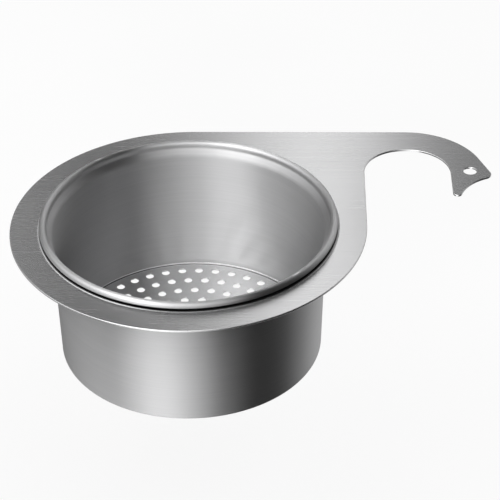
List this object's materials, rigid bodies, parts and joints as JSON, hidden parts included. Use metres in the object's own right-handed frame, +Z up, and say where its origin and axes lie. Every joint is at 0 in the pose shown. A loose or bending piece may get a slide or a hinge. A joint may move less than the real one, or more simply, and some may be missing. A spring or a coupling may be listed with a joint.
{
  "type": "hook-over sink basket strainer",
  "caption": "Stainless sink strainer: a flat ring plate hooks round a tap, and a round perforated basket hangs in the ring by its rolled rim and lifts out.",
  "frame": {"origin": "centre of the hook's round throat, where the tap's axis stands, in the plane of the plate's underside", "axes": "+Z up along the tap's axis, +X along the plate's length from the basket towards the beak, +Y towards the closed rear side of the hook"},
  "size_m": [0.229, 0.1678, 0.0707],
  "materials": {
    "plate_steel": "satin brushed stainless sheet",
    "shell_steel": "satin stainless with a polished rolled rim",
    "base_steel": "satin punched stainless sheet"
  },
  "bodies": {
    "hanger": {"hanger_plate": "plate_steel"},
    "basket": {"basket_shell": "shell_steel", "perforated_base": "base_steel"}
  },
  "joints": [
    {"name": "basket_lift", "type": "slide", "parent": "hanger", "child": "basket", "axis": [0, 0, 1], "range_m": [0, 0.075]}
  ]
}
